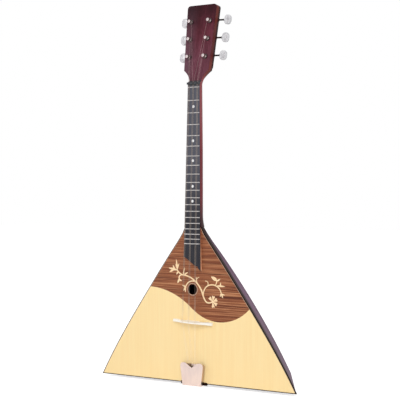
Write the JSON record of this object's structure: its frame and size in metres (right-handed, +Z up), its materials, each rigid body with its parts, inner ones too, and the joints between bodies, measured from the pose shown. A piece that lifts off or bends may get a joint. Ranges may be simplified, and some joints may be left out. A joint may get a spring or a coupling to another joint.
{
  "type": "balalaika",
  "caption": "Prima balalaika: triangular spruce soundboard on a staved bowl, fretted neck and tilted headstock with worm-geared tuners, bridge and tailpiece.",
  "frame": {"origin": "middle of the soundboard's lower edge, on its front face", "axes": "+Z up along the instrument to the headstock, -Y out of the soundboard's front towards the player's hand, +X to the right as seen from the front"},
  "size_m": [0.439, 0.1154, 0.7082],
  "materials": {
    "spruce": "satin",
    "rosewood": "satin",
    "inlay_maple": "satin",
    "ebony": "satin",
    "stave_maple": "gloss",
    "neck_mahogany": "satin",
    "block_spruce": "matte",
    "riser_beech": "satin",
    "head_veneer": "satin",
    "fingerboard_wood": "satin",
    "bridge_maple": "satin",
    "nickel": "polished",
    "pearl": "gloss",
    "string_steel": "polished",
    "wheel_brass": "satin"
  },
  "bodies": {
    "instrument": {"soundboard": "spruce", "guard_veneer": "rosewood", "vine_inlay": "inlay_maple", "sound_hole_ring": "inlay_maple", "binding_left": "ebony", "binding_right": "ebony", "binding_bottom": "ebony", "stave_1": "stave_maple", "stave_2": "stave_maple", "stave_3": "stave_maple", "stave_4": "stave_maple", "stave_5": "stave_maple", "stave_6": "stave_maple", "stave_7": "stave_maple", "bottom_board": "stave_maple", "neck": "neck_mahogany", "neck_block": "block_spruce", "tail_block": "block_spruce", "linings": "block_spruce", "braces": "spruce", "fingerboard": "fingerboard_wood", "fingerboard_riser": "riser_beech", "frets": "nickel", "position_dots": "pearl", "nut": "ebony", "headstock_veneer": "head_veneer", "end_saddle": "ebony", "bridge": "bridge_maple", "tailpiece": "nickel", "tailpiece_cover": "nickel", "tailpiece_screws": "nickel", "tuner_plate_left": "nickel", "tuner_plate_right": "nickel", "tuner_plate_screws": "nickel", "post_ferrules": "nickel", "strings": "string_steel"},
    "worm_1": {"worm_shaft_1": "nickel", "button_1": "pearl"},
    "post_1": {"tuner_post_1": "nickel", "worm_wheel_1": "wheel_brass"},
    "worm_2": {"worm_shaft_2": "nickel", "button_2": "pearl"},
    "post_2": {"tuner_post_2": "nickel", "worm_wheel_2": "wheel_brass"},
    "worm_3": {"worm_shaft_3": "nickel", "button_3": "pearl"},
    "post_3": {"tuner_post_3": "nickel", "worm_wheel_3": "wheel_brass"},
    "worm_4": {"worm_shaft_4": "nickel", "button_4": "pearl"},
    "post_4": {"tuner_post_4": "nickel", "worm_wheel_4": "wheel_brass"},
    "worm_5": {"worm_shaft_5": "nickel", "button_5": "pearl"},
    "post_5": {"tuner_post_5": "nickel", "worm_wheel_5": "wheel_brass"},
    "worm_6": {"worm_shaft_6": "nickel", "button_6": "pearl"},
    "post_6": {"tuner_post_6": "nickel", "worm_wheel_6": "wheel_brass"}
  },
  "joints": [
    {"name": "button_turn_1", "type": "hinge", "parent": "instrument", "child": "worm_1", "pos_m": [-0.0184, 0.03735, 0.60817], "axis": [-0.9991, -0.0075, -0.0425], "continuous": true},
    {"name": "button_turn_2", "type": "hinge", "parent": "instrument", "child": "worm_2", "pos_m": [-0.01987, 0.04325, 0.64162], "axis": [-0.9991, -0.0075, -0.0425], "continuous": true},
    {"name": "button_turn_3", "type": "hinge", "parent": "instrument", "child": "worm_3", "pos_m": [-0.02133, 0.04915, 0.67507], "axis": [-0.9991, -0.0075, -0.0425], "continuous": true},
    {"name": "button_turn_4", "type": "hinge", "parent": "instrument", "child": "worm_4", "pos_m": [0.0184, 0.03735, 0.60817], "axis": [0.9991, -0.0075, -0.0425], "continuous": true},
    {"name": "button_turn_5", "type": "hinge", "parent": "instrument", "child": "worm_5", "pos_m": [0.01987, 0.04325, 0.64162], "axis": [0.9991, -0.0075, -0.0425], "continuous": true},
    {"name": "button_turn_6", "type": "hinge", "parent": "instrument", "child": "worm_6", "pos_m": [0.02133, 0.04915, 0.67507], "axis": [0.9991, -0.0075, -0.0425], "continuous": true},
    {"name": "post_turn_1", "type": "hinge", "parent": "instrument", "child": "post_1", "pos_m": [-0.01813, 0.01815, 0.60527], "axis": [0, 0.9848, -0.1736], "continuous": true},
    {"name": "post_turn_2", "type": "hinge", "parent": "instrument", "child": "post_2", "pos_m": [-0.0196, 0.02405, 0.63872], "axis": [0, 0.9848, -0.1736], "continuous": true},
    {"name": "post_turn_3", "type": "hinge", "parent": "instrument", "child": "post_3", "pos_m": [-0.02107, 0.02995, 0.67218], "axis": [0, 0.9848, -0.1736], "continuous": true},
    {"name": "post_turn_4", "type": "hinge", "parent": "instrument", "child": "post_4", "pos_m": [0.01813, 0.01815, 0.60527], "axis": [0, 0.9848, -0.1736], "continuous": true},
    {"name": "post_turn_5", "type": "hinge", "parent": "instrument", "child": "post_5", "pos_m": [0.0196, 0.02405, 0.63872], "axis": [0, 0.9848, -0.1736], "continuous": true},
    {"name": "post_turn_6", "type": "hinge", "parent": "instrument", "child": "post_6", "pos_m": [0.02107, 0.02995, 0.67218], "axis": [0, 0.9848, -0.1736], "continuous": true}
  ],
  "couplings": [
    {"joint": "post_turn_1", "follows": "button_turn_1", "ratio": -0.083333},
    {"joint": "post_turn_2", "follows": "button_turn_2", "ratio": -0.083333},
    {"joint": "post_turn_3", "follows": "button_turn_3", "ratio": -0.083333},
    {"joint": "post_turn_4", "follows": "button_turn_4", "ratio": -0.083333},
    {"joint": "post_turn_5", "follows": "button_turn_5", "ratio": -0.083333},
    {"joint": "post_turn_6", "follows": "button_turn_6", "ratio": -0.083333}
  ]
}
